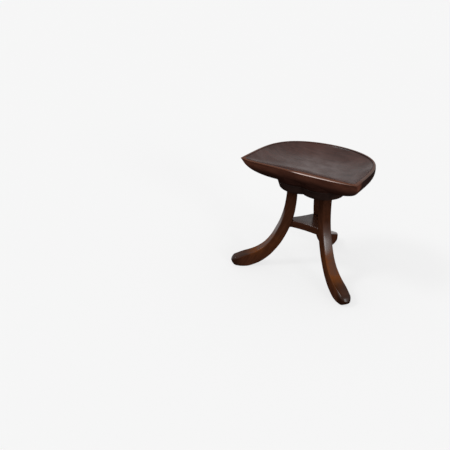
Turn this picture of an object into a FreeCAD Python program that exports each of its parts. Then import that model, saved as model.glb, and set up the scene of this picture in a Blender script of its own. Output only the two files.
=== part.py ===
import FreeCAD, Part
import math
import os

# Three-legged stool in polished hardwood, with a dished seat on a three-lobed block.
# Millimetres, +Z up, the straight front of the seat towards -Y, left towards -X.
# Everything is drawn about the upright axis in which the three legs' planes meet, then
# moved so that the origin is on the floor, under the middle of the stool's outer box.

# Seat: straight front, horseshoe back, boat-shaped underside
seat_height = 402.0           # floor to the flat of the rim
seat_half_width = 197.5       # half of the straight front edge
seat_front_reach = 160.5      # legs' axis to the front edge
seat_back_reach = 130.0       # legs' axis to the back of the rim
seat_depth = 74.0             # rim to the flat landing underneath
seat_plan_power_shares = (4.3, 2.0)      # powers of the horseshoe, along and across the seat
hull_side_inset = 108.0       # how far each side runs in, rim to landing
hull_side_power_shares = (3.3, 1.6)      # powers of the curve it follows
hull_front_inset = 72.0
hull_front_power_shares = (0.75, 1.6)
hull_back_inset = 88.0
hull_back_power_shares = (2.5, 1.5)
rim_arris_radius = 1.2        # the worn outer edge of the rim

# Dish worked into the top of the seat
rim_width = 9.0               # flat left all round
rim_step = 2.5                # small upright step inside the flat
dish_depth = 34.0             # rim to the deepest point
dish_side_run = 128.0         # how far the slope runs in from each side
dish_side_power_shares = (1.15, 2.1)
dish_front_run = 105.0
dish_front_power_shares = (1.0, 1.8)
dish_back_run = 92.0
dish_back_power_shares = (1.2, 2.0)
dish_lip_corner_radius = 15.0       # front corners of the dish at the rim
dish_floor_corner_radius = 30.0     # and at its floor

# Three-lobed block planted under the seat, one round lobe about each leg
block_thickness = 31.0
lobe_radius = 70.0            # at the block's underside
lobe_setback = 27.0           # how much nearer to the axis than its leg each lobe is centred
block_flare = 11.0            # how much wider its top is, all round
block_edge_radius = 5.0       # rounded lower edge
pad_flare = 8.0               # how much the seat's pad widens above the block
pad_flare_height = 12.0
pad_height_share = 0.42       # share of the seat's depth that the pad rises over

# Legs: flat sawn to a sweep, planted in the block
leg_angles = (-142.0, -38.0, 90.0)          # front left, front right, back
front_leg_reach = 76.8        # axis to the middle of the leg at its top
back_leg_reach = 38.7
front_leg_run = 203.0         # from there to the toe
back_leg_run = 172.0
leg_thickness = 31.0          # inner to outer face at the top
leg_width = 31.0
foot_width = 38.5
toe_corner_radius = 17.0      # seen from above
leg_arris_radius = 3.5
# Cuts across the leg from shoulder to toe: inner and outer point of each, as shares of
# the run from shoulder to toe and of the leg's height. The underside passes a little
# below the floor at the ball of the foot, where it is planed flat.
leg_inner_shares = (
    (0.0, 1.0),
    (0.005, 0.825),
    (0.037, 0.640),
    (0.144, 0.404),
    (0.292, 0.220),
    (0.474, 0.085),
    (0.666, 0.014),
    (0.780, -0.004),
    (0.886, -0.003),
    (0.963, 0.014),
    (1.0, 0.045),
)
leg_outer_shares = (
    (0.0, 1.0),
    (0.013, 0.832),
    (0.059, 0.660),
    (0.170, 0.471),
    (0.328, 0.305),
    (0.488, 0.220),
    (0.648, 0.173),
    (0.760, 0.153),
    (0.877, 0.131),
    (0.963, 0.109),
    (1.0, 0.080),
)
# How far each cut's width has gone from the top's to the foot's
leg_foot_shares = (0.0, 0.0, 0.0, 0.1, 0.3, 0.6, 0.9, 1.0, 1.0, 1.0, 1.0)

# Tenons, wedges and glue
glue_gap = 0.1
tenon_radius = 11.0
tenon_end_gap = 0.5
wedge_length = 20.0
wedge_thickness = 4.0
wedge_point_thickness = 1.0

# Three-armed stretcher
stretcher_top = 175.0
stretcher_thickness = 25.0
front_arm_width = 27.0
back_arm_width = 31.0
front_arm_neck = 8.0          # straight end of each arm, before the hollow side
back_arm_neck = 3.0
stretcher_hollow = 3.5        # how far each side curves in
stretcher_arris_radius = 1.5
stub_width = 13.0
stub_height = 14.0
stub_length = 13.0

# Screws that hold the seat down on the block
screw_angles = (-90.0, 26.0, 154.0)         # front, back right, back left
front_screw_reach = 62.0
back_screw_reach = 38.0
screw_length = 42.0
screw_shank_radius = 2.4
screw_head_radius = 4.8
screw_head_height = 3.0
screw_slot_width = 1.2
screw_slot_depth = 1.2
screw_bore_depth = 9.0        # how deep the head is sunk in the block

# Working values
outline_steps = 9             # points on half an outline
level_count = 8               # sections through a worked hollow or hull
leg_cuts = 2                  # sections through a leg for each pair of points
overrun = 5.0                 # how far cutters pass the faces they cut

up = FreeCAD.Vector(0, 0, 1)
landing_height = seat_height - seat_depth
leg_height = landing_height - block_thickness
leg_reaches = (front_leg_reach, front_leg_reach, back_leg_reach)
leg_runs = (front_leg_run, front_leg_run, back_leg_run)
arm_widths = (front_arm_width, front_arm_width, back_arm_width)
arm_necks = (front_arm_neck, front_arm_neck, back_arm_neck)
screw_reaches = (front_screw_reach, back_screw_reach, back_screw_reach)


def point(x, y, z):
    return FreeCAD.Vector(x, y, z)


def about_axis(shape, angle):
    """A copy of a shape, turned about the legs' axis from the +X side."""
    turned = shape.copy()
    turned.rotate(FreeCAD.Vector(), up, angle)
    return turned


def spline(points, first_tangent=None, last_tangent=None):
    """One smooth edge through the points, all at even parameters."""
    curve = Part.BSplineCurve()
    parameters = [float(index) for index in range(len(points))]
    if first_tangent is None:
        curve.interpolate(Points=points, Parameters=parameters)
    else:
        curve.interpolate(
            Points=points,
            Parameters=parameters,
            InitialTangent=first_tangent,
            FinalTangent=last_tangent,
        )
    return curve


def run_in(depth_share, inset, powers):
    """How far a worked side has run in at a share of its depth: nothing at 0, the whole inset at 1."""
    left = max(1 - depth_share ** powers[0], 0)
    return inset * (1 - left ** (1 / powers[1]))


def horseshoe(half_width, front, back, height, corner):
    """Closed outline at one height: straight front, curved back, front corners rounded by corner."""
    start = front + corner
    along, across = seat_plan_power_shares
    half = []
    for step in range(outline_steps):
        share = math.sin(math.radians(90) * step / outline_steps)
        half.append((half_width * (1 - share ** along) ** (1 / across), share))
    right = [point(x, start + (back - start) * share, height) for x, share in half]
    left = [point(-p.x, p.y, height) for p in reversed(right)]
    lead = (right[1] - right[0]).Length
    curve = spline(right + [point(0, back, height)] + left, point(0, lead, 0), point(0, -lead, 0))
    edges = [curve.toShape()]
    inner = half_width - corner
    if corner > 0:
        slant = corner * math.sqrt(0.5)
        for side in (-1, 1):
            tip = point(side * half_width, start, height)
            middle = point(side * (inner + slant), start - slant, height)
            foot = point(side * inner, front, height)
            ends = (tip, middle, foot) if side < 0 else (foot, middle, tip)
            edges.append(Part.Arc(*ends).toShape())
        edges.insert(2, Part.LineSegment(point(-inner, front, height), point(inner, front, height)).toShape())
    else:
        edges.append(Part.LineSegment(left[-1], right[0]).toShape())
    return Part.Wire(edges)


def level_shares(powers):
    """Depth shares for a stack of sections, closer together where the surface turns."""
    shares = []
    for level in range(level_count + 1):
        turn = math.radians(90) * level / level_count
        shares.append(math.sin(turn) ** (2 / powers[0]))
    return shares


def hull():
    """The boat-shaped outside of the seat, from the rim down to the flat landing."""
    wires = []
    for share in level_shares(hull_back_power_shares):
        wires.append(
            horseshoe(
                seat_half_width - run_in(share, hull_side_inset, hull_side_power_shares),
                -seat_front_reach + run_in(share, hull_front_inset, hull_front_power_shares),
                seat_back_reach - run_in(share, hull_back_inset, hull_back_power_shares),
                seat_height - share * seat_depth,
                0,
            )
        )
    return Part.makeLoft(wires, True)


def dish():
    """What is worked out of the top: a shallow step inside the rim, then the hollow."""
    wires = []
    hollow_depth = dish_depth - rim_step
    corner_growth = dish_floor_corner_radius - dish_lip_corner_radius
    for share in level_shares(dish_side_power_shares):
        wires.append(
            horseshoe(
                seat_half_width - rim_width - run_in(share, dish_side_run, dish_side_power_shares),
                -seat_front_reach + rim_width + run_in(share, dish_front_run, dish_front_power_shares),
                seat_back_reach - rim_width - run_in(share, dish_back_run, dish_back_power_shares),
                seat_height - rim_step - share * hollow_depth,
                dish_lip_corner_radius + share * corner_growth,
            )
        )
    step = Part.Face(wires[0]).extrude(up * (rim_step + overrun))
    return Part.makeLoft(wires, True).fuse(step)


def lobes(profile):
    """Three turned lobes in one body, each about its own axis near a leg. Profile: radius and height."""
    outline = [point(radius, 0, height) for radius, height in profile]
    turned = Part.Face(Part.makePolygon(outline + outline[:1])).revolve(FreeCAD.Vector(), up, 360)
    placed = []
    for reach, angle in zip(leg_reaches, leg_angles):
        lobe = turned.copy()
        lobe.translate(point(reach - lobe_setback, 0, 0))
        placed.append(about_axis(lobe, angle))
    return placed[0].fuse(placed[1:]).removeSplitter()


def at_screws(shape):
    """Copies of a shape drawn on the axis, one at each screw's place."""
    copies = []
    for reach, angle in zip(screw_reaches, screw_angles):
        placed = shape.copy()
        placed.translate(point(reach, 0, 0))
        copies.append(about_axis(placed, angle))
    return copies


def screws():
    """Three countersunk wood screws, heads down, points up."""
    low = leg_height + screw_bore_depth
    neck = low + screw_head_height
    tip = low + screw_length
    taper = 3 * screw_shank_radius
    profile = Part.makePolygon(
        [
            point(0, 0, low),
            point(screw_head_radius, 0, low),
            point(screw_shank_radius, 0, neck),
            point(screw_shank_radius, 0, tip - taper),
            point(0, 0, tip),
            point(0, 0, low),
        ]
    )
    body = Part.Face(profile).revolve(FreeCAD.Vector(), up, 360)
    slot = Part.makeBox(
        2 * screw_head_radius,
        screw_slot_width,
        screw_slot_depth,
        point(-screw_head_radius, -screw_slot_width / 2, low),
    )
    return at_screws(body.cut(slot))


def screw_clearance():
    """Clearance holes, countersinks and sinkings for the screws."""
    low = leg_height + screw_bore_depth
    sinking = Part.makeCylinder(
        screw_head_radius + glue_gap, screw_bore_depth + overrun, point(0, 0, leg_height - overrun)
    )
    bore = Part.makeCylinder(screw_shank_radius + glue_gap, screw_length, point(0, 0, low))
    sink = Part.makeCone(screw_head_radius, screw_shank_radius, screw_head_height, point(0, 0, low))
    return at_screws(sinking) + at_screws(bore) + at_screws(sink)


def tenon(leg_reach, radius, top):
    """A round tenon on the +X side, from the shoulder up to top."""
    return Part.makeCylinder(radius, top - leg_height, point(leg_reach, 0, leg_height))


def seat():
    lower = lobe_radius + block_flare
    wide = lower + pad_flare
    flare_top = landing_height + pad_flare_height
    top = landing_height + pad_height_share * seat_depth
    pad = lobes(
        [(0, landing_height), (lower, landing_height), (wide, flare_top), (wide, top), (0, top)]
    )
    body = hull().fuse(pad).cut(dish())
    rim = []
    for edge in body.Edges:
        box = edge.BoundBox
        flat = box.ZMin > seat_height - glue_gap
        outer = box.XLength > 2 * (seat_half_width - rim_width / 2)
        if flat and outer:
            rim.append(edge)
    body = body.makeFillet(rim_arris_radius, rim)
    return body.cut(screw_clearance())


def block():
    chamfer = block_edge_radius * block_flare / block_thickness
    body = lobes(
        [
            (0, leg_height),
            (lobe_radius - block_edge_radius, leg_height),
            (lobe_radius - block_edge_radius / 4, leg_height + block_edge_radius / 4),
            (lobe_radius + chamfer, leg_height + block_edge_radius),
            (lobe_radius + block_flare, landing_height),
            (0, landing_height),
        ]
    )
    sockets = []
    for reach, angle in zip(leg_reaches, leg_angles):
        sockets.append(about_axis(tenon(reach, tenon_radius + glue_gap, landing_height), angle))
    return body.cut(sockets + screw_clearance())


def leg_curve(start, end, shares):
    """Points of one edge of a leg in its upright plane, from the shoulder to the toe."""
    return [point(start + along * (end - start), 0, rise * leg_height) for along, rise in shares]


def leg_section(inner, outer, half_width):
    """A cut across the leg: an oblong with softly rounded corners."""
    depth = (outer - inner).Length
    across = (outer - inner).normalize()
    side = point(0, 1, 0)
    radius = leg_arris_radius
    slant = radius * (1 - math.sqrt(0.5))

    def place(u, v):
        return inner + across * u + side * v

    edges = []
    low, high = -half_width, half_width
    edges.append(Part.LineSegment(place(radius, low), place(depth - radius, low)))
    edges.append(Part.Arc(edges[-1].EndPoint, place(depth - slant, low + slant), place(depth, low + radius)))
    edges.append(Part.LineSegment(edges[-1].EndPoint, place(depth, high - radius)))
    edges.append(Part.Arc(edges[-1].EndPoint, place(depth - slant, high - slant), place(depth - radius, high)))
    edges.append(Part.LineSegment(edges[-1].EndPoint, place(radius, high)))
    edges.append(Part.Arc(edges[-1].EndPoint, place(slant, high - slant), place(0, high - radius)))
    edges.append(Part.LineSegment(edges[-1].EndPoint, place(0, low + radius)))
    edges.append(Part.Arc(edges[-1].EndPoint, place(slant, low + slant), place(radius, low)))
    return Part.Wire([edge.toShape() for edge in edges])


def leg_body(reach, run):
    """A leg on the +X side, swept from shoulder to toe, flat where it stands, its toe rounded in plan."""
    toe = reach + run
    inner = spline(leg_curve(reach - leg_thickness / 2, toe, leg_inner_shares))
    outer = spline(leg_curve(reach + leg_thickness / 2, toe, leg_outer_shares))
    growth = spline([point(index, share, 0) for index, share in enumerate(leg_foot_shares)])
    sections = []
    for step in range(leg_cuts * (len(leg_foot_shares) - 1) + 1):
        place = step / leg_cuts
        width = leg_width + growth.value(place).y * (foot_width - leg_width)
        sections.append(leg_section(inner.value(place), outer.value(place), width / 2))
    body = Part.makeLoft(sections, True)
    start = reach - leg_thickness
    corner = toe - toe_corner_radius
    half = foot_width / 2
    cheek = half - toe_corner_radius
    slant = toe_corner_radius * math.sqrt(0.5)
    near_arc = (point(corner, -half, 0), point(corner + slant, -cheek - slant, 0), point(toe, -cheek, 0))
    far_arc = (point(toe, cheek, 0), point(corner + slant, cheek + slant, 0), point(corner, half, 0))
    edges = [
        Part.LineSegment(point(start, -half, 0), near_arc[0]),
        Part.Arc(*near_arc),
        Part.LineSegment(near_arc[2], far_arc[0]),
        Part.Arc(*far_arc),
        Part.LineSegment(far_arc[2], point(start, half, 0)),
        Part.LineSegment(point(start, half, 0), point(start, -half, 0)),
    ]
    plan = Part.Face(Part.Wire([edge.toShape() for edge in edges]))
    return body.common(plan.extrude(up * (leg_height + overrun)))


def wedge(reach, trim):
    """A tapered wedge in the top of a tenon on the +X side, no wider than the tenon less trim."""
    top = landing_height - tenon_end_gap
    low = top - wedge_length
    profile = Part.makePolygon(
        [
            point(reach - wedge_thickness / 2, -tenon_radius, top),
            point(reach + wedge_thickness / 2, -tenon_radius, top),
            point(reach + wedge_point_thickness / 2, -tenon_radius, low),
            point(reach - wedge_point_thickness / 2, -tenon_radius, low),
            point(reach - wedge_thickness / 2, -tenon_radius, top),
        ]
    )
    blank = Part.Face(profile).extrude(point(0, 2 * tenon_radius, 0))
    return blank.common(tenon(reach, tenon_radius - trim, landing_height))


def face_reach(reach, run, height):
    """Distance from the axis to a leg's inner face at a height."""
    points = leg_curve(reach - leg_thickness / 2, reach + run, leg_inner_shares)
    for upper, lower in zip(points, points[1:]):
        if upper.z >= height >= lower.z:
            share = (upper.z - height) / (upper.z - lower.z)
            return upper.x + share * (lower.x - upper.x)
    return reach - leg_thickness / 2


def stub(reach, run, clearance):
    """A stub tenon on the +X side, from the stretcher's arm into the leg's inner face."""
    middle = stretcher_top - stretcher_thickness / 2
    start = face_reach(reach, run, middle) - stub_length
    return Part.makeBox(
        2 * stub_length + clearance,
        stub_width + 2 * clearance,
        stub_height + 2 * clearance,
        point(start, -stub_width / 2 - clearance, middle - stub_height / 2 - clearance),
    )


def leg(reach, run):
    """One whole leg on the +X side: body, round tenon slotted for its wedge, mortise for the stretcher."""
    body = leg_body(reach, run).fuse(tenon(reach, tenon_radius, landing_height - tenon_end_gap))
    return body.cut(wedge(reach, -glue_gap)).cut(stub(reach, run, glue_gap))


def stretcher():
    """A flat plate with three arms and hollow sides, each arm scribed to a leg's inner face."""
    low = stretcher_top - stretcher_thickness
    corners = []
    for reach, run, angle, width, straight in zip(leg_reaches, leg_runs, leg_angles, arm_widths, arm_necks):
        end = face_reach(reach, run, low)
        neck = end - straight
        outer = end + leg_thickness / 2
        half = width / 2
        arm = []
        for along, across in ((neck, -half), (outer, -half), (outer, half), (neck, half)):
            turn = FreeCAD.Rotation(up, angle)
            arm.append(turn.multVec(point(along, across, low)))
        corners.append(arm)
    centre = point(0, 0, low)
    edges = []
    for index, arm in enumerate(corners):
        following = corners[(index + 1) % len(corners)]
        for first, second in zip(arm, arm[1:]):
            edges.append(Part.LineSegment(first, second).toShape())
        middle = (arm[-1] + following[0]) * 0.5
        inward = (centre - middle).normalize()
        edges.append(Part.Arc(arm[-1], middle + inward * stretcher_hollow, following[0]).toShape())
    plate = Part.Face(Part.Wire(edges)).extrude(up * stretcher_thickness)
    arrises = []
    for edge in plate.Edges:
        box = edge.BoundBox
        if box.ZLength < glue_gap:
            arrises.append(edge)
    plate = plate.makeFillet(stretcher_arris_radius, arrises)
    for reach, run, angle in zip(leg_reaches, leg_runs, leg_angles):
        plate = plate.cut(about_axis(leg_body(reach, run), angle))
    for reach, run, angle in zip(leg_reaches, leg_runs, leg_angles):
        plate = plate.fuse(about_axis(stub(reach, run, 0), angle))
    return max(plate.Solids, key=lambda solid: solid.Volume)


pieces = {"seat": seat(), "leg_block": block(), "stretcher": stretcher()}
for place, reach, run, angle in zip(("front_left", "front_right", "back"), leg_reaches, leg_runs, leg_angles):
    pieces["leg_" + place] = about_axis(leg(reach, run), angle)
    pieces["tenon_wedge_" + place] = about_axis(wedge(reach, 0), angle)
for place, screw in zip(("front", "back_right", "back_left"), screws()):
    pieces["block_screw_" + place] = screw

# The front toes are the foremost points unless the seat passes them; the back toe is the last
toe_centre = FreeCAD.Rotation(up, leg_angles[1]).multVec(
    point(front_leg_reach + front_leg_run - toe_corner_radius, toe_corner_radius - foot_width / 2, 0)
)
front_end = min(toe_centre.y - toe_corner_radius, -seat_front_reach)
back_end = max(back_leg_reach + back_leg_run, seat_back_reach)
middle_y = (front_end + back_end) / 2
os.makedirs("parts", exist_ok=True)
for name, shape in pieces.items():
    shape.translate(point(0, -middle_y, 0))
    shape.exportStep("parts/" + name + ".step")
    print(name, "solids", len(shape.Solids), "valid", shape.isValid(), "volume", round(shape.Volume))
print("front", front_end, "back", back_end, "moved by", -middle_y)
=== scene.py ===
# %% [markdown]
# # Dressing a three-legged stool
#
# The stool is a low one in dark polished hardwood. Its thick seat is dished above and
# shaped like a boat below, with a straight front edge. A three-lobed block under the
# seat takes three legs, sawn to a sweep from flat planks, and a three-armed stretcher
# ties them. A CAD model of it is packed already. This lesson gives it finer surfaces
# where polish shows every facet, then wood, light and a camera.
#
# Everything is in metres and stands in the CAD model's own frame: the floor is at
# z = 0, the seat's straight front faces -Y, and the back leg points to +Y.

import math

import bmesh
import bpy
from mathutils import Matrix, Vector


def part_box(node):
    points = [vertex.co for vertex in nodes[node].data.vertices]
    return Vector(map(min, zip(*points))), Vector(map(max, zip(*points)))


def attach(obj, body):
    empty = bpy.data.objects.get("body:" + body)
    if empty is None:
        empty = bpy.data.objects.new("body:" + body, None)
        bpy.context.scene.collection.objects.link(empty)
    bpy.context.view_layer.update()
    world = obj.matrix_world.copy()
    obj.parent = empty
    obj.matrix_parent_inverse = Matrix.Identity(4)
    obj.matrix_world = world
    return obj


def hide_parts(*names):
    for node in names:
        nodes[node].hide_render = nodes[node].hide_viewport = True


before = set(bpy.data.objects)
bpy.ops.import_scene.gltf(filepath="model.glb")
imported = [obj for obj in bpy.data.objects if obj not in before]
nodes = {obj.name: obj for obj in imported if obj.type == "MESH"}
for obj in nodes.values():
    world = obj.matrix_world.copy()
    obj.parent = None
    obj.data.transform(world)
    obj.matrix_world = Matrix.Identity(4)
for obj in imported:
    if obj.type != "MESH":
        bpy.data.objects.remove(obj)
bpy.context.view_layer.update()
print("CAD nodes:", sorted(nodes))

# %% [markdown]
# ## The drawing's axis
#
# The stool is drawn about the upright axis in which the three legs' planes meet. That
# isn't the middle of the stool's box. The seat's back edge is a known distance behind
# the axis, so the axis is measured from the seat and not typed in.

# %% Find the axis
seat_back_reach = 0.130
axis_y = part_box("seat")[1].y - seat_back_reach
print("axis at y =", round(axis_y, 4))

# %% [markdown]
# ## A helper for nodes
#
# Shaders and Geometry Nodes are both trees of nodes, and long formulas are hard to read
# when each sum is a node of its own. The class below wraps one socket, so that a formula
# can be written as Python arithmetic. Each operation adds a Math node to the tree.

# %% Sockets that can be added and multiplied
class Value:
    """One output socket. Arithmetic on it adds Math nodes to its tree."""

    def __init__(self, bench, socket):
        self.bench = bench
        self.socket = socket

    def __add__(self, other):
        return self.bench.math("ADD", self, other)

    __radd__ = __add__

    def __sub__(self, other):
        return self.bench.math("SUBTRACT", self, other)

    def __rsub__(self, other):
        return self.bench.math("SUBTRACT", other, self)

    def __mul__(self, other):
        return self.bench.math("MULTIPLY", self, other)

    __rmul__ = __mul__

    def __truediv__(self, other):
        return self.bench.math("DIVIDE", self, other)


print("sockets add, subtract, multiply and divide")

# %% [markdown]
# Any other node comes from one method, `node`. It takes the node's type, its settings,
# which are set first because they can change the sockets, and the sockets' values or
# links. Sockets that share a name are told apart by their identifiers.

# %% A bench that adds nodes to a tree
def find_socket(sockets, key):
    """A socket by number, identifier or name."""
    if isinstance(key, int):
        return sockets[key]
    for socket in sockets:
        if socket.identifier == key:
            return socket
    return sockets[key]


class Bench:
    """Adds nodes to one tree and links them."""

    def __init__(self, tree):
        self.tree = tree

    def node(self, kind, settings=None, sockets=None, output=0):
        """A new node, set and linked. Gives one of its outputs, or the node if it has none."""
        made = self.tree.nodes.new(kind)
        for name, value in (settings or {}).items():
            setattr(made, name, value)
        for key, value in (sockets or {}).items():
            socket = find_socket(made.inputs, key)
            if isinstance(value, Value):
                self.tree.links.new(value.socket, socket)
            else:
                socket.default_value = value
        return Value(self, find_socket(made.outputs, output)) if made.outputs else made

    def math(self, operation, *values):
        """A Math node over values and numbers."""
        return self.node("ShaderNodeMath", {"operation": operation}, dict(enumerate(values)))

    def held(self, value, low, high):
        """A value held between two others."""
        return self.math("MINIMUM", self.math("MAXIMUM", value, low), high)

    def smooth(self, value, low, high):
        """Nothing at low, one at high, an easy change between. Low may be the larger one."""
        return self.node(
            "ShaderNodeMapRange",
            {"interpolation_type": "SMOOTHSTEP"},
            {"Value": value, "From Min": low, "From Max": high},
        )

    def parts(self, vector):
        """The X, Y and Z of a vector."""
        first = self.node("ShaderNodeSeparateXYZ", sockets={0: vector})
        return [Value(self, socket) for socket in first.socket.node.outputs]


def emptied(owner):
    """A bench on the emptied node tree of a material or a world."""
    owner.use_nodes = True
    owner.node_tree.nodes.clear()
    return Bench(owner.node_tree)


print("node helpers ready")

# %% [markdown]
# ## The swept legs
#
# Each leg is one piece of plank, sawn along two curves: the inner face and the outer
# face. Between them it is flat on both sides, with softened arrises. The three legs
# share the pattern and differ in the way they point, how far from the axis they are
# planted, and how far they run: the back leg is shorter.

# %% Sizes of the legs
leg_height = 0.297
leg_thickness = 0.031
leg_width = 0.031
foot_width = 0.0385
leg_angles = {"front_left": -142.0, "front_right": -38.0, "back": 90.0}
leg_reaches = {"front_left": 0.0768, "front_right": 0.0768, "back": 0.0387}
leg_runs = {"front_left": 0.203, "front_right": 0.203, "back": 0.172}
toe_reaches = {side: leg_reaches[side] + leg_runs[side] for side in leg_angles}
print("toes end at:", {side: round(reach, 4) for side, reach in toe_reaches.items()})

# %% [markdown]
# A sweep between two curves follows a rule, so Geometry Nodes make it. The curves run
# down the leg's arrises, and their points are shares: of the run from shoulder to toe,
# and of the leg's height. How far each point stands off the middle is half of the leg's
# width there, in metres. The foot is a little wider than the leg, and a third list says
# how much of that widening each point has.

# %% The two curves of a leg
inner_points = (
    (0.0, 1.0),
    (0.005, 0.825),
    (0.037, 0.640),
    (0.144, 0.404),
    (0.292, 0.220),
    (0.474, 0.085),
    (0.666, 0.014),
    (0.780, -0.004),
    (0.886, -0.003),
    (0.963, 0.014),
    (1.0, 0.045),
)
outer_points = (
    (0.0, 1.0),
    (0.013, 0.832),
    (0.059, 0.660),
    (0.170, 0.471),
    (0.328, 0.305),
    (0.488, 0.220),
    (0.648, 0.173),
    (0.760, 0.153),
    (0.877, 0.131),
    (0.963, 0.109),
    (1.0, 0.080),
)
foot_shares = (0.0, 0.0, 0.0, 0.1, 0.3, 0.6, 0.9, 1.0, 1.0, 1.0, 1.0)
steps_between = 12


def linked(name, data):
    """An object for some data, in the scene."""
    made = bpy.data.objects.new(name, data)
    bpy.context.scene.collection.objects.link(made)
    return made


def arris_curve(name, points):
    """A smooth curve down one arris of a leg."""
    data = bpy.data.curves.new(name, "CURVE")
    data.dimensions = "3D"
    data.resolution_u = steps_between
    spline = data.splines.new("BEZIER")
    spline.bezier_points.add(len(points) - 1)
    for target, (along, rise), foot in zip(spline.bezier_points, points, foot_shares):
        width = leg_width + foot * (foot_width - leg_width)
        target.co = (along, width / 2, rise)
        target.handle_left_type = target.handle_right_type = "AUTO"
    return linked(name, data)


inner_arris = arris_curve("inner_arris", inner_points)
outer_arris = arris_curve("outer_arris", outer_points)
leg_cuts = steps_between * (len(inner_points) - 1) + 1
print("cuts down each leg:", leg_cuts)

# %% [markdown]
# The tree's inputs have names, so that one tree serves all three legs. A new geometry
# tree is empty: its inputs and its output are made first.

# %% A geometry tree with named inputs
def new_tree(name, inputs):
    """An empty geometry tree, with its bench and its named inputs as values."""
    tree = bpy.data.node_groups.new(name, "GeometryNodeTree")
    for label, kind, default in inputs:
        socket = tree.interface.new_socket(label, in_out="INPUT", socket_type=kind)
        if default is not None:
            socket.default_value = default
    tree.interface.new_socket("Geometry", in_out="OUTPUT", socket_type="NodeSocketGeometry")
    bench = Bench(tree)
    entry = tree.nodes.new("NodeGroupInput")
    given = {label: Value(bench, entry.outputs[label]) for label, kind, default in inputs}
    return tree, bench, given


leg_tree, bench, given = new_tree(
    "sweep a leg",
    (
        ("Inner Arris", "NodeSocketObject", None),
        ("Outer Arris", "NodeSocketObject", None),
        ("Leg Reach", "NodeSocketFloat", leg_reaches["front_left"]),
        ("Toe Reach", "NodeSocketFloat", toe_reaches["front_left"]),
        ("Angle", "NodeSocketFloat", 0.0),
        ("Arris Radius", "NodeSocketFloat", 0.0035),
        ("Toe Corner", "NodeSocketFloat", 0.0185),
        ("Toe Arris Radius", "NodeSocketFloat", 0.011),
        ("Toe Round Over", "NodeSocketFloat", 0.060),
        ("Toe Dome", "NodeSocketFloat", 0.011),
        ("Points Round", "NodeSocketInt", 64),
        ("Material", "NodeSocketMaterial", None),
    ),
)
print("inputs of the leg tree:", list(given))

# %% [markdown]
# The tree starts from a plain grid, one metre square about the origin. One way across
# the grid becomes the way round the leg, the other becomes the way down it. The rows
# are the cuts down the leg, with one more row at each end, which is gathered into a
# single point and so closes the leg.

# %% Round and down the leg
position = bench.node("GeometryNodeInputPosition")
grid = bench.node(
    "GeometryNodeMeshGrid",
    sockets={
        "Size X": 1.0,
        "Size Y": 1.0,
        "Vertices X": given["Points Round"] + 1,
        "Vertices Y": leg_cuts + 2,
    },
)
across, along = bench.parts(position)[:2]
turn = (across + 0.5) * (2 * math.pi)
row = bench.math("ROUND", (along + 0.5) * (leg_cuts + 1)) - 1
cut = bench.held(row, 0, leg_cuts - 1)
is_cut = bench.math("COMPARE", row, cut, 0.5)
print("rows of the grid:", leg_cuts + 2)

# %% [markdown]
# For each point, the tree reads the two curves at its cut. The curves start at the
# plank's two faces, where the leg meets the block.

# %% Read the two curves at a cut
def curve_at_cut(arris, shoulder):
    """Reach, height and half width on an arris at this cut, in metres."""
    source = bench.node(
        "GeometryNodeObjectInfo", {"transform_space": "ORIGINAL"}, {"Object": arris}, "Geometry"
    )
    points = bench.node("GeometryNodeCurveToPoints", {"mode": "EVALUATED"}, {"Curve": source})
    shares = bench.node(
        "GeometryNodeSampleIndex",
        {"data_type": "FLOAT_VECTOR", "domain": "POINT"},
        {"Geometry": points, "Value": position, "Index": cut},
    )
    run, half, rise = bench.parts(shares)
    return shoulder + run * (given["Toe Reach"] - shoulder), rise * leg_height, half


inner_face, outer_face = (given["Leg Reach"] + leg_thickness / 2 * side for side in (-1, 1))
inner_x, inner_z, half_width = curve_at_cut(given["Inner Arris"], inner_face)
outer_x, outer_z = curve_at_cut(given["Outer Arris"], outer_face)[:2]
run, drop = outer_x - inner_x, outer_z - inner_z
depth = bench.math("SQRT", run * run + drop * drop)
middle_x, middle_z = (inner_x + outer_x) / 2, (inner_z + outer_z) / 2
print("nodes so far:", len(leg_tree.nodes))

# %% [markdown]
# The point is then set on a rounded oblong between the curves. A circle is stretched
# far out and cut off at the oblong's sides, which leaves flats with round corners.
# Towards the toe the corners get rounder, and the last centimetre closes in a dome.

# %% The rounded oblong
end_share = 0.01
to_end = given["Toe Reach"] - middle_x
short = bench.math("MAXIMUM", 1 - to_end / given["Toe Dome"], 0)
dome = bench.math("SQRT", bench.math("MAXIMUM", 1 - short * short, end_share**2))
half_depth = depth / 2 * dome
rounder = bench.smooth(to_end / given["Toe Round Over"], 1.0, 0.1)
wanted = given["Arris Radius"] + (given["Toe Arris Radius"] - given["Arris Radius"]) * rounder
radius = bench.math("MINIMUM", wanted, half_depth)
spread = half_depth + half_width


def flat_with_corner(direction, half):
    """Offset from the middle: the stretched circle, cut off at the flat, plus the corner."""
    flat = half - radius
    return (bench.held(direction * spread, flat * -1, flat) + direction * radius) * is_cut


outwards = flat_with_corner(bench.math("COSINE", turn), half_depth)
sideways = flat_with_corner(bench.math("SINE", turn), half_width)
print("nodes so far:", len(leg_tree.nodes))

# %% [markdown]
# Two more rules finish the foot: whatever comes out below the floor is planed flat, and
# seen from above the toe's corners are round. Then the seam is merged, the leg is turned
# to its place about the axis, and it gets its material.

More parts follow.
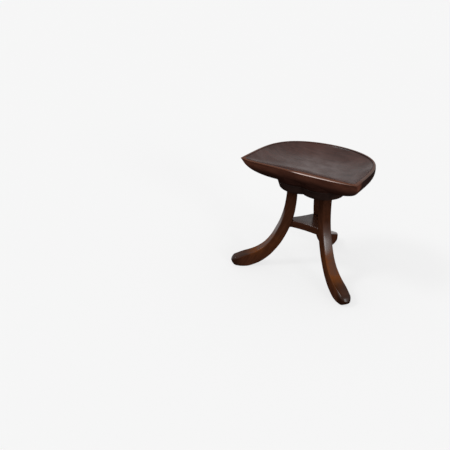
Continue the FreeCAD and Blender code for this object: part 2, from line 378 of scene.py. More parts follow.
# %% Finish the foot and close the tree
merge_distance = 1e-6
swept_x = middle_x + outwards * run / depth
swept_z = bench.math("MAXIMUM", middle_z + outwards * drop / depth, 0)
corner = given["Toe Corner"]
past = bench.math("MAXIMUM", swept_x - given["Toe Reach"] + corner, 0)
left_over = bench.math("SQRT", bench.math("MAXIMUM", corner * corner - past * past, 0))
narrowing = bench.math("MINIMUM", (half_width - corner + left_over) / half_width, 1)
swept = bench.node(
    "ShaderNodeCombineXYZ", sockets={"X": swept_x, "Y": sideways * narrowing, "Z": swept_z}
)
spin = bench.node("ShaderNodeCombineXYZ", sockets={"Z": given["Angle"]})
body = grid
for kind, sockets in (
    ("GeometryNodeSetPosition", {"Position": swept}),
    ("GeometryNodeMergeByDistance", {"Distance": merge_distance}),
    ("GeometryNodeTransform", {"Translation": (0.0, axis_y, 0.0), "Rotation": spin}),
    ("GeometryNodeSetShadeSmooth", {}),
    ("GeometryNodeRealizeInstances", {}),
    ("GeometryNodeSetMaterial", {"Material": given["Material"]}),
    ("NodeGroupOutput", {}),
):
    body = bench.node(kind, sockets={"Geometry": body, **sockets})
print("leg tree has", len(leg_tree.nodes), "nodes")

# %% [markdown]
# ## Wood
#
# The wood is a dark red-brown hardwood with a hand-rubbed polish. Close to, it shows
# streaks that run with the grain, short dark pores, and broad patches where polish and
# handling have made it darker or lighter. Each is a noise, drawn out along the grain.
#
# A board's grain runs straight, whatever is sawn out of it. So each piece has its own
# grain direction, and a Mapping node turns the pattern to it.

# %% Noises along the grain
MIX, MULTIPLY = "MIX", "MULTIPLY"


def solid(colour):
    """A colour with the full alpha that a colour socket asks for."""
    return (*colour, 1.0)


def mix(bench, share, first, second, kind=MIX):
    """Two colours, mixed or multiplied by a share."""
    return bench.node(
        "ShaderNodeMix",
        {"data_type": "RGBA", "blend_type": kind},
        {"Factor_Float": share, "A_Color": first, "B_Color": second},
        "Result_Color",
    )


def noise(bench, place, scale, detail, pull=1.0, distortion=0.0):
    """A noise from 0 to 1. A pull under 1 draws it out along X."""
    pulled = bench.node(
        "ShaderNodeVectorMath", {"operation": "MULTIPLY"}, {0: place, 1: (pull, 1.0, 1.0)}
    )
    return bench.node(
        "ShaderNodeTexNoise",
        {"noise_dimensions": "3D"},
        {"Vector": pulled, "Scale": scale, "Detail": detail, "Distortion": distortion},
    )


def wood_noises(bench, place, turn):
    """Patches, blotches, streaks, fibres and pores, from broad to fine."""
    grain = bench.node(
        "ShaderNodeMapping",
        {"vector_type": "TEXTURE"},
        {"Vector": place, "Location": (0.0, axis_y, 0.0), "Rotation": turn},
    )
    patches = noise(bench, grain, 9.0, 3.0, 0.6)
    blotches = noise(bench, grain, 28.0, 4.0, 0.7, 0.3)
    streaks = noise(bench, grain, 140.0, 4.0, 0.06, 0.3)
    fibres = noise(bench, grain, 420.0, 3.0, 0.03)
    pores = bench.smooth(noise(bench, grain, 900.0, 2.0, 0.05), 0.62, 0.70)
    return patches, blotches, streaks, fibres, pores


print("noise helpers ready")

# %% [markdown]
# Faces that look up have kept a waxed gloss, and the upright ones are dull. The
# normal's height makes that mask, and it feeds the coat's weight. Each finish then adds
# its own tints: where the stain is rubbed thin, where the wood is darker, and painted
# shade, sheen and highlights. A tint's mask is a formula over the point's place,
# measured from the axis and the floor.

# %% The wood material
pore_colour, pore_share = (0.25, 0.2, 0.2), 0.5
bump_height, bump_strength = 0.0004, 0.35
coat_roughness = 0.24


def spot_at(bench, place, blotches):
    """What a mask can ask: where the point is, how far it looks up, and how blotchy it is."""
    x, y, z = bench.parts(place)
    y = y - axis_y
    facing = bench.node("ShaderNodeTexCoord", output="Normal")
    return {
        "x": x,
        "y": y,
        "z": z,
        "reach": bench.math("SQRT", x * x + y * y),
        "upward": bench.parts(facing)[2],
        "blotches": bench.smooth(blotches, 0.35, 0.65),
    }


def polished_wood(name, dark, light, roughness, gloss, turn=(0.0, 0.0, 0.0), tints=()):
    """Polished hardwood whose grain runs along the turned X axis.

    A tint is a mask made from (bench, spot), a colour, how it is blended, and the share
    of the gloss that it keeps.
    """
    material = bpy.data.materials.new(name)
    bench = emptied(material)
    place = bench.node("ShaderNodeTexCoord", output="Object")
    patches, blotches, streaks, fibres, pores = wood_noises(bench, place, turn)
    spot = spot_at(bench, place, blotches)
    figure = streaks * 0.32 + patches * 0.4 + blotches * 0.2 + fibres * 0.12
    colour = mix(bench, bench.smooth(figure, 0.30, 0.80), solid(dark), solid(light))
    looks_up, uneven = bench.smooth(spot["upward"], 0.14, 0.40), 0.85 + (blotches - 0.5) * 0.8
    shine = looks_up * gloss * uneven
    for mask, tint, kind, kept_gloss in tints:
        here = mask(bench, spot)
        colour = mix(bench, here, colour, solid(tint), kind)
        shine = shine * (1 - here * (1 - kept_gloss))
    colour = mix(bench, pores * pore_share, colour, solid(pore_colour), MULTIPLY)
    relief = fibres * 0.3 - pores * 0.6 + patches * 2.0
    shader = bench.node(
        "ShaderNodeBsdfPrincipled",
        sockets={
            "Base Color": colour,
            "Roughness": roughness + (patches - 0.5) * 0.16 + (fibres - 0.5) * 0.06,
            "Normal": bench.node(
                "ShaderNodeBump",
                sockets={"Strength": bump_strength, "Distance": bump_height, "Height": relief},
            ),
            "Specular IOR Level": 0.0,
            "Coat Weight": shine,
            "Coat Roughness": coat_roughness,
        },
    )
    bench.node("ShaderNodeOutputMaterial", sockets={"Surface": shader})
    return material


print("wood recipe ready")

# %% [markdown]
# The legs are worn orange-brown low on their outer faces, where feet rest. Their toes
# are darker, and their tops, up under the block, are darkened as painted shade.

# %% Tints of the legs
def at_least(least, mask):
    """A mask that is lifted, so that it never falls below a share."""
    return least + mask * (1 - least)


def worn_low(bench, spot):
    """Thin stain on the lower part of a leg, patchy."""
    below_knee = bench.smooth(spot["z"], 0.15, 0.09)
    above_floor = bench.smooth(spot["z"], 0.02, 0.06)
    outer_face = at_least(0.35, bench.smooth(spot["upward"], 0.0, 0.3))
    front_half = bench.smooth(spot["y"], 0.02, -0.02)
    return below_knee * above_floor * outer_face * front_half * at_least(0.35, spot["blotches"])


def dark_toe(bench, spot):
    """Darker all round the toe, and farther up on top of it."""
    toe = bench.smooth(spot["reach"], 0.235, 0.270)
    instep = bench.smooth(spot["reach"], 0.190, 0.238)
    top = bench.smooth(spot["upward"], 0.2, 0.6)
    return bench.math("MAXIMUM", instep * top * 0.7, toe * 0.8)


def painted_shoulder_shade(bench, spot):
    """The upper part of a leg, darkened as painted shade under the block."""
    return bench.smooth(spot["z"], 0.145, 0.26) * 0.62


leg_tints = (
    (worn_low, (0.135, 0.040, 0.009), MIX, 0.08),
    (dark_toe, (0.20, 0.22, 0.27), MULTIPLY, 0.35),
    # The shoulder tint is painted shade under the block, not a colour of the wood.
    (painted_shoulder_shade, (0.45, 0.45, 0.48), MULTIPLY, 0.1),
)
print("tints of the legs:", len(leg_tints))

# %% Woods of the legs
plank_tilt = math.radians(58.0)
leg_dark, leg_light = (0.028, 0.0098, 0.0052), (0.092, 0.032, 0.0155)
leg_woods = {}
for side, angle in leg_angles.items():
    leg_woods[side] = polished_wood(
        "leg_wood_" + side,
        leg_dark,
        leg_light,
        roughness=0.42,
        gloss=1.0,
        turn=(0.0, plank_tilt, math.radians(angle)),
        tints=leg_tints,
    )
print("leg woods:", sorted(leg_woods))

# %% [markdown]
# ## Making the three legs
#
# A modifier's input is set by its socket's identifier. The modifier's result is turned
# into a plain mesh and the modifier goes, so that nothing is left to recompute.

# %% Helpers that run a tree
def set_inputs(modifier, values):
    """Sets a Geometry Nodes modifier's inputs by the names that its tree gives them."""
    for item in modifier.node_group.interface.items_tree:
        if item.item_type == "SOCKET" and item.in_out == "INPUT" and item.name in values:
            modifier[item.identifier] = values[item.name]


def outward_normals(mesh):
    """Merges the doubles of a closed mesh and turns every face outwards."""
    work = bmesh.new()
    work.from_mesh(mesh)
    bmesh.ops.remove_doubles(work, verts=work.verts, dist=merge_distance)
    bmesh.ops.recalc_face_normals(work, faces=work.faces)
    work.to_mesh(mesh)
    work.free()


def grown_by_tree(name, tree, values):
    """An object whose mesh a geometry tree has made."""
    made = linked(name, bpy.data.meshes.new(name))
    modifier = made.modifiers.new("grow", "NODES")
    modifier.node_group = tree
    set_inputs(modifier, values)
    seen = made.evaluated_get(bpy.context.evaluated_depsgraph_get())
    mesh = bpy.data.meshes.new_from_object(seen)
    made.modifiers.clear()
    made.data = mesh
    outward_normals(mesh)
    return made


print("tree helpers ready")

# %% Run the tree once for each leg
for side, angle in leg_angles.items():
    leg = grown_by_tree(
        "swept_leg_" + side,
        leg_tree,
        {
            "Inner Arris": inner_arris,
            "Outer Arris": outer_arris,
            "Leg Reach": leg_reaches[side],
            "Toe Reach": toe_reaches[side],
            "Angle": math.radians(angle),
            "Material": leg_woods[side],
        },
    )
    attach(leg, "root")
    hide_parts("leg_" + side)
    print(leg.name, "faces", len(leg.data.polygons))
for curve in (inner_arris, outer_arris):
    bpy.data.objects.remove(curve)

# %% [markdown]
# ## The seat
#
# The seat is one thick plank, worked all over. At every level its outline is the same
# kind of curve: a straight front, two small corners and a horseshoe round the back. So
# the whole surface can be skinned over a stack of such outlines. The stack starts in
# the middle of the dish, climbs the dish to the lip, crosses the flat rim, goes over
# the worn arris and runs down the hull to the flat where the block is planted.
#
# Two powers shape the horseshoe. Both would be 2 in a half ellipse, and the higher first
# one carries the sides farther back before they turn in.

# %% Outlines of the seat
seat_height = 0.402
seat_half_width = 0.1975
seat_front_reach = 0.1605
seat_depth = 0.074
rim_width = 0.009
rim_step = 0.0025
plan_powers = (4.3, 2.0)
front_points, corner_points, back_points = 40, 8, 140


def superellipse(share, powers):
    """How much of a width is left at a share of the way to where it closes."""
    return max(1 - share ** powers[0], 0) ** (1 / powers[1])


def horseshoe(half_width, front, back, corner, height):
    """Points round one level, anticlockwise from the middle of the straight front."""
    inner, start = half_width - corner, front + corner
    right = [(inner * step / front_points, front) for step in range(front_points)]
    for step in range(corner_points):
        turn = math.radians(90) * step / corner_points
        right.append((inner + corner * math.sin(turn), start - corner * math.cos(turn)))
    curved = []
    for step in range(back_points + 1):
        turn = math.radians(180) * step / back_points
        rise = math.sin(turn)
        wide = half_width * superellipse(rise, plan_powers)
        curved.append((math.copysign(wide, math.cos(turn)), start + (back - start) * rise))
    left = [(-x, y) for x, y in reversed(right[1:])]
    return [Vector((x, axis_y + y, height)) for x, y in right + curved + left]


print("points round an outline:", len(horseshoe(0.1, -0.1, 0.1, 0.01, 0.0)))

# %% [markdown]
# The dish is shallow at its front corners and steepest round the back. Three runs say
# how far it comes in from the sides, the front and the back, each with the two powers
# of its own curve. The levels crowd together towards the bottom, where the wall turns
# fastest. There the dish ends in a small flat floor, and rings of ever smaller shares of
# that floor's outline close it.

# %% The dish, from its middle up to the lip
dish_depth = 0.034
dish_levels = 44
dish_sides = (0.128, (1.15, 2.1))
dish_front = (0.105, (1.0, 1.8))
dish_back = (0.092, (1.2, 2.0))
floor_half, floor_front, floor_back = 0.0605, -0.0465, 0.029
floor_shares = (0.004, 0.12, 0.25, 0.4, 0.55, 0.7, 0.85)
lip_corner, floor_corner = 0.015, 0.030


def run_in(share, inset, powers):
    """How far a worked side has run in at a share of its depth."""
    return inset * (1 - superellipse(share, powers))


def level_share(level, levels, power):
    """How far down a level lies, as a share of the depth. The lowest ones lie closest."""
    return math.sin(math.radians(90) * level / levels) ** (2 / power)


dish_rings = []
floor_middle = (floor_front + floor_back) / 2
for share in floor_shares:
    dish_rings.append(
        horseshoe(
            floor_half * share,
            floor_middle + (floor_front - floor_middle) * share,
            floor_middle + (floor_back - floor_middle) * share,
            floor_corner * share,
            seat_height - dish_depth,
        )
    )
for level in range(dish_levels, -1, -1):
    share = level_share(level, dish_levels, dish_sides[1][0])
    dish_rings.append(
        horseshoe(
            seat_half_width - rim_width - run_in(share, *dish_sides),
            -seat_front_reach + rim_width + run_in(share, *dish_front),
            seat_back_reach - rim_width - run_in(share, *dish_back),
            lip_corner + (floor_corner - lip_corner) * share,
            seat_height - rim_step - share * (dish_depth - rim_step),
        )
    )
print("dish rings:", len(dish_rings))

# %% [markdown]
# Between the dish and the hull lies the rim: a small upright step, a flat less than a
# centimetre wide, and the outer arris, which hands and cloth have rounded. The step's
# upper edge is eased as well, because a sharp edge never catches the light.

# %% The rim
step_ease = 0.0007
arris_radius = 0.0032
outer_corner = 0.003
flat_grows = (0.002, 0.0035, 0.005)
quarter = [math.radians(angle) for angle in (15, 30, 45, 60, 75, 90)]


def rim_ring(grow, height):
    """A ring on the rim, grow metres outside the dish's lip."""
    inset = rim_width - grow
    return horseshoe(
        seat_half_width - inset,
        -seat_front_reach + inset,
        seat_back_reach - inset,
        max(lip_corner * (1 - grow / rim_width), outer_corner),
        height,
    )


rim_rings = [rim_ring(0.0, seat_height - rim_step / 2), rim_ring(0.0, seat_height - step_ease)]
for turn in quarter:
    grow, down = step_ease * (1 - math.cos(turn)), step_ease * (1 - math.sin(turn))
    rim_rings.append(rim_ring(grow, seat_height - down))
rim_rings += [rim_ring(grow, seat_height) for grow in flat_grows]
print("rim rings:", len(rim_rings))

# %% [markdown]
# The hull is made in the same way, from three runs of its own. Its sides hang nearly
# upright and then turn under, and its front slopes back from the start.

# %% The hull, from the arris down to the flat landing
hull_levels = 44
hull_sides = (0.108, (3.3, 1.6))
hull_front = (0.072, (0.75, 1.6))
hull_back = (0.088, (2.5, 1.5))


def hull_ring(depth, inset):
    """A ring on the outside, depth below the rim, held in by inset."""
    share = depth / seat_depth
    return horseshoe(
        seat_half_width - inset - run_in(share, *hull_sides),
        -seat_front_reach + inset + run_in(share, *hull_front),
        seat_back_reach - inset - run_in(share, *hull_back),
        outer_corner,
        seat_height - depth,
    )


hull_rings = []
for turn in [0.0] + quarter:
    depth, inset = arris_radius * (1 - math.cos(turn)), arris_radius * (1 - math.sin(turn))
    hull_rings.append(hull_ring(depth, inset))
for level in range(1, hull_levels + 1):
    share = level_share(level, hull_levels, hull_back[1][0])
    hull_rings.append(hull_ring(arris_radius + share * (seat_depth - arris_radius), 0.0))
print("hull rings:", len(hull_rings))

# %% [markdown]
# Sitters have worn the front edge all along. From its left end to past the middle it is
# rolled over softly, so that neither arris nor step is left. Farther right the step is
# still crisp, and the rim slopes down from it to a narrow, polished arris. So points
# near the front edge are lowered by amounts that depend on how far left they are.

# %% Wear on the front edge
wear_reach, face_reach = 0.030, 0.001
roll_until, roll_fade, tip_length = 0.027, 0.052, 0.030
roll_depth, roll_middle, roll_breadth = 0.0042, 0.001, 0.0075
slope_from, slope_depth, slope_breadth, slope_power = 0.045, 0.0080, 0.0050, 0.7


def held(value):
    """A number held between 0 and 1."""
    return min(max(value, 0), 1)


def eased(value):
    """Smooth step from 0 to 1."""
    value = held(value)
    return value * value * (3 - 2 * value)


def bell(distance, breadth):
    """One at no distance, falling away on both sides."""
    return math.exp(-((distance / breadth) ** 2))


def worn(point):
    """A point of the seat, lowered where the front edge is worn."""
    behind = point.y - axis_y + seat_front_reach
    depth = seat_height - point.z
    if behind > wear_reach or depth > wear_reach:
        return point
    left = eased((roll_until - point.x) / roll_fade)
    tip = held((point.x + seat_half_width) / tip_length)
    roll = roll_depth * bell(behind - roll_middle, roll_breadth)
    on_rim = held(1 - depth / rim_step) if behind > face_reach else 0
    step = rim_step * min(behind / rim_width, 1) * on_rim
    to_corner = held((point.x - slope_from) / (seat_half_width - slope_from))
    slope = slope_depth * (1 - to_corner**2) ** slope_power * bell(behind, slope_breadth)
    lowered = left * tip * (roll + step) + (1 - left) * slope
    return Vector((point.x, point.y, point.z - lowered))


rings = [[worn(point) for point in ring] for ring in dish_rings + rim_rings + hull_rings]
arris = rings[len(dish_rings) + len(rim_rings)]
print("lowest worn point of the arris:", round(min(point.z for point in arris), 4))

# %% [markdown]
# A skin joins each ring to the next. The first and last rings close with one face
# each, hidden in the floor of the dish, where it is a fraction of a millimetre wide,
# and over the block. Other closed meshes can then be joined to a skinned one or cut
# from it, by Boolean modifiers that are turned into a plain mesh at once.

# %% Skin a stack of rings, join and cut
crisp_edge = math.radians(32)


def skinned(name, rings, materials, second_from=None):
    """A closed mesh over rings of equal length.

    Where second_from is given, the rings from that number on get the second material.
    """
    count = len(rings[0])
    points = [point for ring in rings for point in ring]
    faces = []
    for low in range(0, len(points) - count, count):
        for step in range(count):
            after = (step + 1) % count
            faces.append((low + step, low + after, low + count + after, low + count + step))
    faces.append(tuple(range(count)))
    faces.append(tuple(range(len(points) - count, len(points))))
    mesh = bpy.data.meshes.new(name)
    mesh.from_pydata(points, [], faces)
    for material in materials:
        mesh.materials.append(material)
    if second_from is not None:
        for polygon in mesh.polygons:
            polygon.material_index = int(polygon.vertices[0] >= second_from * count)
    outward_normals(mesh)
    return linked(name, mesh)


def shade_smooth(mesh, sharp_angle):
    """Smooth shading, with the edges that turn farther than an angle kept sharp."""
    mesh.polygons.foreach_set("use_smooth", [True] * len(mesh.polygons))
    mesh.set_sharp_from_angle(angle=sharp_angle)


def combined(body, tools, operation):
    """Joins other closed meshes to the body or cuts them from it. The tools are used up."""
    for tool in tools:
        modifier = body.modifiers.new("combine", "BOOLEAN")
        modifier.operation = operation
        modifier.solver = "EXACT"
        modifier.object = tool
    seen = body.evaluated_get(bpy.context.evaluated_depsgraph_get())
    mesh = bpy.data.meshes.new_from_object(seen)
    body.modifiers.clear()
    body.data = mesh
    for tool in tools:
        bpy.data.objects.remove(tool)
    shade_smooth(mesh, crisp_edge)


print("skin helpers ready")

# %% [markdown]
# ## The lobes
#
# Block and pad have one outline: three equal circles, one about each leg, run into each
# other. At any level it is three arcs, which meet in cusps between the legs. A cusp is
# where two neighbouring circles cross, on the side away from the axis.

# %% Rings of three lobes
lobe_radius = 0.070
lobe_setback = 0.027
arc_points = 56
closing_share = 0.01
lobe_centres = []
for side in ("front_right", "back", "front_left"):
    turn = math.radians(leg_angles[side])
    out = Vector((math.cos(turn), math.sin(turn)))
    lobe_centres.append(out * (leg_reaches[side] - lobe_setback))


def cusp(first, second, radius):
    """Where two circles of one radius cross, right of the way from the first to the second."""
    apart = second - first
    rise = math.sqrt(radius * radius - apart.length_squared / 4)
    return (first + second) / 2 + Vector((apart.y, -apart.x)).normalized() * rise


def lobed_ring(radius, height, share=1.0):
    """Points round the three lobes, anticlockwise, drawn in towards the axis by a share."""
    ring = []
    for index, centre in enumerate(lobe_centres):
        start = cusp(lobe_centres[index - 1], centre, radius) - centre
        end = cusp(centre, lobe_centres[(index + 1) % 3], radius) - centre
        first = math.atan2(start.y, start.x)
        sweep = (math.atan2(end.y, end.x) - first) % (2 * math.pi)
        for step in range(arc_points):
            turn = first + sweep * step / arc_points
            place = (centre + Vector((math.cos(turn), math.sin(turn))) * radius) * share
            ring.append(Vector((place.x, axis_y + place.y, height)))
    return ring


print("points round the lobes:", len(lobed_ring(lobe_radius, 0.0)))

# %% [markdown]
# ## Finish of the seat
#
# The middle of the dish is lightened to a greyish painted sheen, and painted shade runs
# along the foot of the step. Outside, the stain is thin on the front face and on the flat
# of the rim, and a pale painted highlight runs along the front arris where it is still
# crisp. The hull's underside is darkened as painted shade, and its right end is darker
# and cooler. So dish and hull are two woods with tints of their own, whose masks are
# mostly measured down from the rim.

# %% Tints of the dish and the hull
def below_rim(bench, spot, low, high):
    """Nothing at one depth below the rim, one at another."""
    return bench.smooth(spot["z"], seat_height - low, seat_height - high)


def painted_step_shade(bench, spot):
    """Painted shade along the foot of the step inside the rim, where the rim isn't worn away."""
    return below_rim(bench, spot, 0.0052, 0.0030) * bench.smooth(spot["x"], -0.01, 0.03)


def painted_dish_sheen(bench, spot):
    """The middle of the dish, lightened to a greyish painted sheen, patchy."""
    return bench.smooth(spot["reach"], 0.125, 0.02) * (0.4 + spot["blotches"] * 0.35)


def dark_end(bench, spot):
    """The right end of the hull, darker and cooler."""
    return bench.smooth(spot["x"], 0.150, 0.188)


def rubbed_front(bench, spot):
    """Thin stain over the upper part of the front face, patchy."""
    front = bench.smooth(spot["y"], -0.11, -0.135)
    return front * below_rim(bench, spot, 0.058, 0.010) * at_least(0.55, spot["blotches"])


def rubbed_rim(bench, spot):
    """The flat of the rim, handled until it is warm brown and dull."""
    level = below_rim(bench, spot, 0.0045, 0.0015)
    front = bench.smooth(spot["y"], -0.1485, -0.1515)
    sloping = front * below_rim(bench, spot, 0.015, 0.011)
    top = bench.math("MAXIMUM", level * 0.65, sloping)
    return top * bench.smooth(spot["upward"], 0.1, 0.5) * 0.9


def painted_arris_highlight(bench, spot):
    """The arris of the front edge, with a pale painted highlight where it is still crisp."""
    top = below_rim(bench, spot, 0.015, 0.011)
    rounded = bench.smooth(spot["upward"], 0.08, 0.35) * bench.smooth(spot["upward"], 0.97, 0.86)
    front = bench.smooth(spot["y"], -0.1560, -0.1580)
    crisp = bench.smooth(spot["x"], -0.035, 0.010) * bench.smooth(spot["x"], 0.20, 0.06)
    return top * rounded * front * crisp


def painted_shade_below(bench, spot):
    """Painted shade under the hull, deepening towards the landing."""
    return below_rim(bench, spot, 0.030, 0.062) * 0.8


print("seat masks ready")

# %% Woods of the dish and the hull
dish_wood = polished_wood(
    "dish_wood",
    (0.018, 0.0064, 0.0046),
    (0.074, 0.0235, 0.0155),
    roughness=0.40,
    gloss=0.78,
    tints=(
        # Painted sheen in the middle of the dish, and painted shade along the foot of the step.
        (painted_dish_sheen, (0.090, 0.058, 0.054), MIX, 1.0),
        (painted_step_shade, (0.30, 0.28, 0.28), MULTIPLY, 0.6),
    ),
)
hull_wood = polished_wood(
    "hull_wood",
    (0.019, 0.0074, 0.0056),
    (0.070, 0.0262, 0.0176),
    roughness=0.42,
    gloss=0.9,
    tints=(
        (dark_end, (0.55, 0.80, 1.0), MULTIPLY, 1.0),
        (rubbed_front, (0.130, 0.047, 0.029), MIX, 0.4),
        (rubbed_rim, (0.110, 0.043, 0.024), MIX, 0.25),
        # Painted shade darkens the hull's underside.
        (painted_shade_below, (0.36, 0.38, 0.42), MULTIPLY, 1.0),
        # A near-white painted highlight along the crisp part of the front arris.
        (painted_arris_highlight, (0.90, 0.72, 0.66), MIX, 1.0),
    ),
)
print("seat woods:", dish_wood.name, hull_wood.name)

# %% [markdown]
# ## The seat with its pad
#
# Under the hull the plank keeps a flat pad in the shape of the three lobes, which widens
# as it runs up into the hull. Pad and hull are one piece of wood, so they are joined.
# Where the pad meets the block, both edges are eased a little, which leaves a fine line.

# %% The seat with its pad
block_flare, pad_flare = 0.011, 0.008
seam_ease = 0.0006
seam_break = seam_ease * 0.3
landing = seat_height - seat_depth
pad_rise = 0.031
pad_lower = lobe_radius + block_flare
pad_profile = (
    (pad_lower - seam_ease, 0.0),
    (pad_lower - seam_break, seam_break),
    (pad_lower + seam_ease * 0.4, seam_ease),
    (pad_lower + pad_flare * 0.4, 0.004),
    (pad_lower + pad_flare * 0.75, 0.008),
    (pad_lower + pad_flare, 0.012),
    (pad_lower + pad_flare, pad_rise),
)
pad_rings = [lobed_ring(pad_lower, landing, closing_share)]
pad_rings += [lobed_ring(radius, landing + rise) for radius, rise in pad_profile]
pad_rings += [lobed_ring(pad_lower, landing + pad_rise, closing_share)]
seat = skinned("dished_seat", rings, [dish_wood, hull_wood], len(dish_rings))
pad = skinned("pad", pad_rings, [dish_wood, hull_wood], 0)
combined(seat, [pad], "UNION")
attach(seat, "root")
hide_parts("seat")
print("seat faces", len(seat.data.polygons))

# %% [markdown]
# ## The block
#
# The block is a piece of its own, with a rounded lower edge and sides that flare up to
# the pad. Three holes in its underside take the sunk heads of the screws. It is duller
# than the seat, and its colours are painted darker, as painted shade under the seat.

# %% Rings and wood of the block
block_edge, edge_flare = 0.005, 0.0018
edge_turns = (0, 15, 30, 45, 60, 75)
flare_shares = (0.25, 0.5, 0.75)
# The block's two colours are painted dark, as painted shade under the seat.
block_shaded_dark, block_shaded_light = (0.010, 0.0058, 0.0050), (0.034, 0.0180, 0.0145)
block_wood = polished_wood("block_wood", block_shaded_dark, block_shaded_light, roughness=0.5, gloss=0.3)
block_rings = [lobed_ring(lobe_radius, leg_height, closing_share)]
for turn in edge_turns:
    swing = math.radians(turn)
    grow = block_edge * (math.sin(swing) - 1) + edge_flare * turn / edge_turns[-1]
    rise = block_edge * (1 - math.cos(swing))
    block_rings.append(lobed_ring(lobe_radius + grow, leg_height + rise))
for share in flare_shares:
    rise = share * (landing - leg_height)
    block_rings.append(lobed_ring(lobe_radius + block_flare * share, leg_height + rise))
block_rings.append(lobed_ring(pad_lower - seam_break, landing - seam_ease))
block_rings.append(lobed_ring(pad_lower - seam_ease, landing))
block_rings.append(lobed_ring(pad_lower, landing, closing_share))
print("block rings:", len(block_rings))

# %% The block with its sunk holes
screw_places = ((-90.0, 0.062), (26.0, 0.038), (154.0, 0.038))
sinking_radius, sinking_length, sinking_points = 0.0049, 0.018, 48


def sinking(angle, reach):
    """A round cutter about the block's lower face, which leaves a hole half its length deep."""
    work = bmesh.new()
    bmesh.ops.create_cone(
        work,
        cap_ends=True,
        segments=sinking_points,
        radius1=sinking_radius,
        radius2=sinking_radius,
        depth=sinking_length,
    )
    turn = math.radians(angle)
    place = (reach * math.cos(turn), axis_y + reach * math.sin(turn), leg_height)
    bmesh.ops.translate(work, verts=work.verts, vec=place)
    mesh = bpy.data.meshes.new("sinking")
    work.to_mesh(mesh)
    work.free()
    mesh.materials.append(block_wood)
    return linked("sinking", mesh)


block = skinned("three_lobed_block", block_rings, [block_wood])
combined(block, [sinking(angle, reach) for angle, reach in screw_places], "DIFFERENCE")
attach(block, "root")
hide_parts("leg_block")
print("block faces", len(block.data.polygons))

# %% [markdown]
# ## The stretcher
#
# The stretcher has the right shape already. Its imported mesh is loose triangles, which
# polish would show as facets, so a copy is merged and shaded smooth, with its sharp
# edges kept.

# %% Smooth copy of the stretcher
crisp_stretcher_edge = math.radians(35)
stretcher_wood = polished_wood("stretcher_wood", leg_dark, leg_light, roughness=0.42, gloss=0.9)
mesh = nodes["stretcher"].data.copy()
mesh.name = "three_armed_stretcher"
mesh.materials.clear()
mesh.materials.append(stretcher_wood)
outward_normals(mesh)
shade_smooth(mesh, crisp_stretcher_edge)
stretcher = linked("three_armed_stretcher", mesh)
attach(stretcher, "root")
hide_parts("stretcher")
print("stretcher faces", len(stretcher.data.polygons))

# %% [markdown]
# ## Wedges and screws
#
# The wedges and screws are inside and hardly seen, so the CAD solids stay, with a
# material each: bare wood for the wedges, dulled steel for the screws. The wedges'
# grain stands upright.

# %% Wedges and screws
def dulled_steel():
    """Plain steel that has lost its shine, with a few darker spots."""
    material = bpy.data.materials.new("dulled_steel")
    bench = emptied(material)
    spots = noise(bench, bench.node("ShaderNodeTexCoord", output="Object"), 600.0, 3.0)
    bright, dull = solid((0.33, 0.31, 0.29)), solid((0.12, 0.08, 0.06))
    shader = bench.node(
        "ShaderNodeBsdfPrincipled",
        sockets={
            "Base Color": mix(bench, bench.smooth(spots, 0.45, 0.7), bright, dull),
            "Roughness": spots * 0.4 + 0.25,
            "Metallic": 1.0,
        },
    )
    bench.node("ShaderNodeOutputMaterial", sockets={"Surface": shader})
    return material


wedge_wood = polished_wood(
    "wedge_wood",
    (0.12, 0.06, 0.03),
    (0.3, 0.17, 0.09),
    roughness=0.6,
    gloss=0.2,
    turn=(0.0, math.radians(90.0), 0.0),
)
inner_materials = {"wedge": wedge_wood, "screw": dulled_steel()}
for name, node in nodes.items():
    for kind, material in inner_materials.items():
        if kind in name:
            node.data.materials.clear()
            node.data.materials.append(material)
            print(name, "has", material.name)

# %% [markdown]
# ## Floor, light and camera
#
# The stool stands on a plain pale floor that runs out past the picture. Floor and world
# look white, but only where they are seen, straight or by way of gloss or glass. To the
# light that they throw on the stool they are dimmer, so that its polish stays dark. A
# little of the floor's white is still a lit surface, which keeps the stool's shadow.

# %% The floor
floor_reach = 60.0
thrown_grey, seen_grey = 0.38, 0.85
glow_strength, glow_share = 0.95, 0.75


def seen_directly(bench):
    """One where the camera looks, also by way of gloss or glass, and nothing elsewhere."""
    camera_ray, gloss_ray, glass_ray = (
        bench.node("ShaderNodeLightPath", output="Is %s Ray" % way)
        for way in ("Camera", "Glossy", "Transmission")
    )
    return camera_ray + gloss_ray + glass_ray


def grey(level):
    """A plain grey, from black at 0 to white at 1."""
    return solid((level, level, level))


def floor_white():
    """White where it is seen, grey to the light that it throws back."""
    material = bpy.data.materials.new("floor_white")
    bench = emptied(material)
    dim, lit = (
        bench.node("ShaderNodeBsdfDiffuse", sockets={"Color": grey(level)})
        for level in (thrown_grey, seen_grey)
    )
    glow = bench.node(
        "ShaderNodeEmission", sockets={"Color": grey(1.0), "Strength": glow_strength}
    )
    pale = bench.node("ShaderNodeMixShader", sockets={0: glow_share, 1: lit, 2: glow})
    shader = bench.node("ShaderNodeMixShader", sockets={0: seen_directly(bench), 1: dim, 2: pale})
    bench.node("ShaderNodeOutputMaterial", sockets={"Surface": shader})
    return material


mesh = bpy.data.meshes.new("pale_floor")
corners = [(-1, -1), (1, -1), (1, 1), (-1, 1)]
mesh.from_pydata([(x * floor_reach, y * floor_reach, 0) for x, y in corners], [], [(0, 1, 2, 3)])
mesh.materials.append(floor_white())
linked("pale_floor", mesh)
print("floor reaches", floor_reach, "m each way")

# %% [markdown]
# The world gives an even pale light from everywhere. Two soft suns add the highlights:
# one from the front left draws the bright line along the seat's front arris, and a low
# one from the right lights the bend of the near leg.

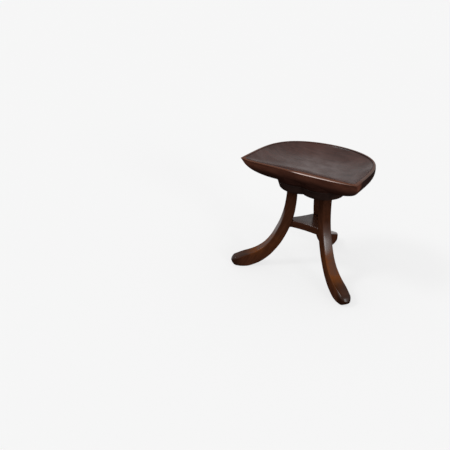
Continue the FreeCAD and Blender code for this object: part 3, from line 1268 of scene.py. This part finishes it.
# %% The world and the lamps
thrown_strength, seen_strength = 0.72, 0.93
scene = bpy.context.scene
scene.view_settings.view_transform = "Standard"
scene.world = bpy.data.worlds.new("studio")
bench = emptied(scene.world)
even_light, backdrop = (
    bench.node("ShaderNodeBackground", sockets={"Color": grey(1.0), "Strength": strength})
    for strength in (thrown_strength, seen_strength)
)
shader = bench.node(
    "ShaderNodeMixShader", sockets={0: seen_directly(bench), 1: even_light, 2: backdrop}
)
bench.node("ShaderNodeOutputWorld", sockets={"Surface": shader})


def direction(azimuth, elevation):
    """The way from the stool to something round it. Azimuth 0 is the front, 90 the right."""
    turn, rise = math.radians(azimuth), math.radians(elevation)
    return Vector(
        (math.sin(turn) * math.cos(rise), -math.cos(turn) * math.cos(rise), math.sin(rise))
    )


def soft_sun(name, azimuth, elevation, strength, softness):
    """A sun lamp that shines from a direction. Its softness is its width in degrees."""
    data = bpy.data.lights.new(name, "SUN")
    data.energy = strength
    data.angle = math.radians(softness)
    made = linked(name, data)
    made.rotation_mode = "QUATERNION"
    made.rotation_quaternion = direction(azimuth, elevation).to_track_quat("Z", "Y")


soft_sun("left_lamp", azimuth=-48.0, elevation=48.0, strength=0.8, softness=14.0)
soft_sun("right_lamp", azimuth=67.0, elevation=17.0, strength=0.9, softness=16.0)
print("lamps placed")

# %% [markdown]
# The camera stands where the photograph was taken from: about 1.7 m from the seat and
# 0.99 m up, looking 28 degrees down, with the seat's straight front turned 36 degrees
# from it. In the photograph the stool stands right of the middle, and so it does here.

# %% The camera
camera_azimuth, camera_elevation = 35.58, 27.93
camera_place = Vector((0.6724, -1.4581 + axis_y, 0.9856))
camera_data = bpy.data.cameras.new("photo_camera")
camera_data.sensor_width = 36.0
camera_data.lens = 41.30
camera = linked("photo_camera", camera_data)
camera.rotation_mode = "QUATERNION"
camera.location = camera_place
view = -direction(camera_azimuth, camera_elevation)
camera.rotation_quaternion = view.to_track_quat("-Z", "Y")
scene.camera = camera
seat_top = Vector((0.0, axis_y, seat_height))
print("camera to the seat:", round((camera_place - seat_top).length, 3), "m")
